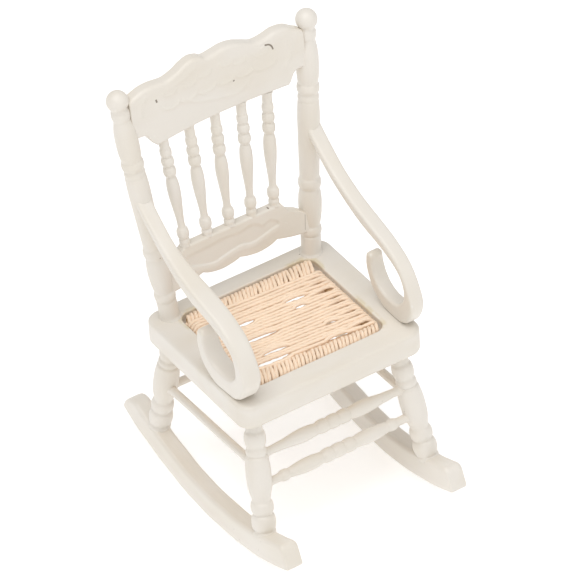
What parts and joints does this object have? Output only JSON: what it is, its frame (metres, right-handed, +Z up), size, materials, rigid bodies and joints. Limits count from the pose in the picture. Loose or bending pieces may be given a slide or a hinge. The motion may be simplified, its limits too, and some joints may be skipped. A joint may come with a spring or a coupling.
{
  "type": "miniature rocking chair",
  "caption": "Dolls-house rocking chair with turned legs, posts and spindles, scrolled arms, a carved crest rail and a woven cord seat on two curved rockers.",
  "frame": {"origin": "centre of the footprint box on the floor, under the middle of the chair, with the rockers' rolling edge at zero height", "axes": "+Z up, -Y the way the chair faces, +X on the right of someone who looks at its front; parts named right are on +X"},
  "size_m": [0.052, 0.0658, 0.0988],
  "materials": {
    "painted_wood": "satin ivory paint",
    "seat_cord": "matt twisted cord",
    "bare_wood": "bare"
  },
  "bodies": {
    "root": {"rocker_left": "painted_wood", "rocker_right": "painted_wood", "front_leg_left": "painted_wood", "front_leg_right": "painted_wood", "rear_leg_left": "painted_wood", "rear_leg_right": "painted_wood", "front_stretcher_upper": "painted_wood", "front_stretcher_lower": "painted_wood", "side_stretcher_left": "painted_wood", "side_stretcher_right": "painted_wood", "rear_stretcher": "painted_wood", "seat_frame": "painted_wood", "seat_rail_front": "bare_wood", "seat_rail_rear": "bare_wood", "seat_rail_left": "bare_wood", "seat_rail_right": "bare_wood", "seat_weave": "seat_cord", "back_post_left": "painted_wood", "back_post_right": "painted_wood", "crest_rail": "painted_wood", "lower_rail": "painted_wood", "spindle_1": "painted_wood", "spindle_2": "painted_wood", "spindle_3": "painted_wood", "spindle_4": "painted_wood", "spindle_5": "painted_wood", "arm_left": "painted_wood", "arm_right": "painted_wood"}
  },
  "joints": []
}
